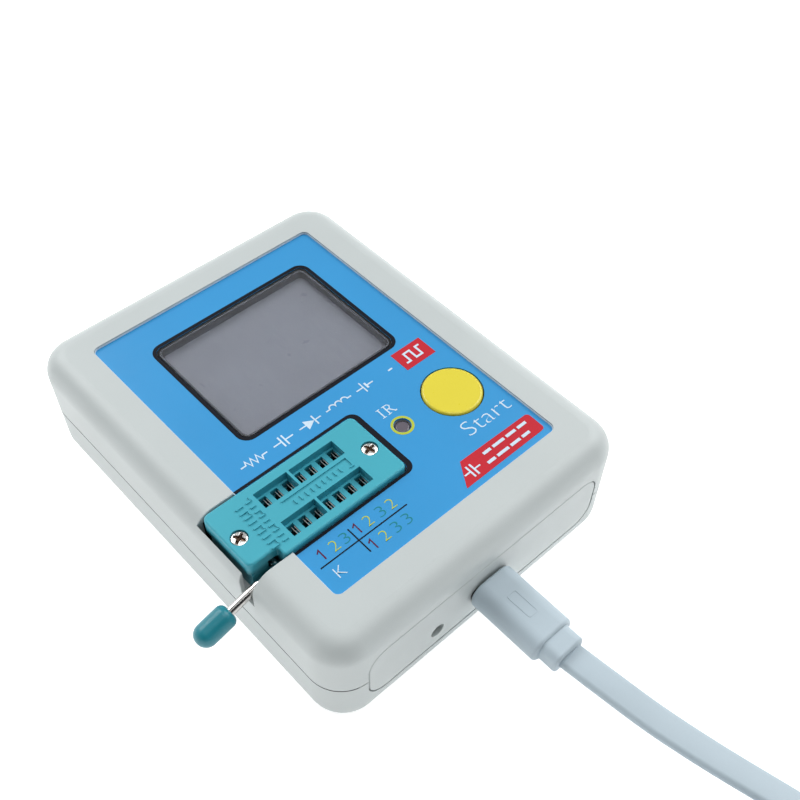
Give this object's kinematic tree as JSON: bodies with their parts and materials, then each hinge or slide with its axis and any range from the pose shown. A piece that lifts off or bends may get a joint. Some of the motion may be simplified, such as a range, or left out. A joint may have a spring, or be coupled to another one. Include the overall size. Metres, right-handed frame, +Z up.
{
  "type": "component tester",
  "caption": "Handheld component tester: two-part case, printed front label, display, push button, lever-operated test socket and a flat USB charging lead.",
  "frame": {"origin": "centre of the case's bottom face, on the surface it rests on", "axes": "+Z up out of the label, +X to the reader's right, +Y to the display end, away from the USB port"},
  "size_m": [0.0839, 0.213, 0.0266],
  "materials": {
    "case_plastic": "fine spark-eroded matt",
    "label_film": "printed polycarbonate film",
    "clear_window": "clear acrylic",
    "display_glass": "polished",
    "white_plastic": "moulded",
    "foam": "closed-cell foam",
    "circuit_board": "solder mask",
    "black_epoxy": "moulded epoxy",
    "grey_epoxy": "moulded epoxy",
    "bright_steel": "nickel plated",
    "contact_metal": "tin plated",
    "socket_plastic": "glass-filled, moulded",
    "knob_plastic": "moulded",
    "button_plastic": "semi-gloss moulded",
    "red_insulation": "smooth",
    "black_insulation": "smooth",
    "cell_wrap": "foil pouch",
    "polyimide": "flexible film",
    "cable_jacket": "smooth TPE",
    "tie_plastic": "moulded"
  },
  "bodies": {
    "case": {"top_shell": "case_plastic", "bottom_shell": "case_plastic", "usb_end_panel": "case_plastic", "rear_end_panel": "case_plastic", "front_label": "label_film", "case_screws": "bright_steel", "display_window": "clear_window", "display_glass": "display_glass", "display_frame": "white_plastic", "display_foam": "foam", "display_flex": "polyimide", "main_board": "circuit_board", "microcontroller": "black_epoxy", "microcontroller_legs": "contact_metal", "crystal": "bright_steel", "small_parts": "black_epoxy", "tact_switch": "black_epoxy", "infrared_receiver": "grey_epoxy", "infrared_pins": "contact_metal", "socket_base": "socket_plastic", "socket_cover": "socket_plastic", "socket_contacts": "contact_metal", "socket_screws": "bright_steel", "usb_socket": "bright_steel", "usb_socket_tongue": "black_epoxy", "charge_led": "white_plastic", "battery": "cell_wrap", "battery_tape": "foam", "battery_connector": "white_plastic", "battery_lead_red": "red_insulation", "battery_lead_black": "black_insulation"},
    "lever": {"socket_lever": "bright_steel", "lever_knob": "knob_plastic"},
    "slider": {"socket_slider": "socket_plastic"},
    "button": {"start_button": "button_plastic", "tact_plunger": "black_epoxy"},
    "lead": {"plug_shell": "bright_steel", "plug_core": "black_epoxy", "plug_overmould": "cable_jacket", "plug_collar": "cable_jacket", "cable": "cable_jacket", "cable_coil": "cable_jacket", "cable_tail": "cable_jacket", "coil_tie": "tie_plastic", "usb_grip": "cable_jacket", "usb_shell": "bright_steel", "usb_core": "white_plastic"}
  },
  "joints": [
    {"name": "lever_hinge", "type": "hinge", "parent": "case", "child": "lever", "pos_m": [-0.0286, -0.02265, 0.0229], "axis": [0, 1, 0], "range_deg": [0, 100]},
    {"name": "slider_slide", "type": "slide", "parent": "case", "child": "slider", "axis": [1, 0, 0], "range_m": [0, 0.0009]},
    {"name": "button_press", "type": "slide", "parent": "case", "child": "button", "axis": [0, 0, -1], "range_m": [0, 0.0005], "stiffness_N_per_m": 1500},
    {"name": "lead_pull", "type": "slide", "parent": "case", "child": "lead", "axis": [0, -1, 0], "range_m": [0, 0.012]}
  ],
  "couplings": [
    {"joint": "slider_slide", "follows": "lever_hinge", "m_per_rad": 0.000458}
  ]
}
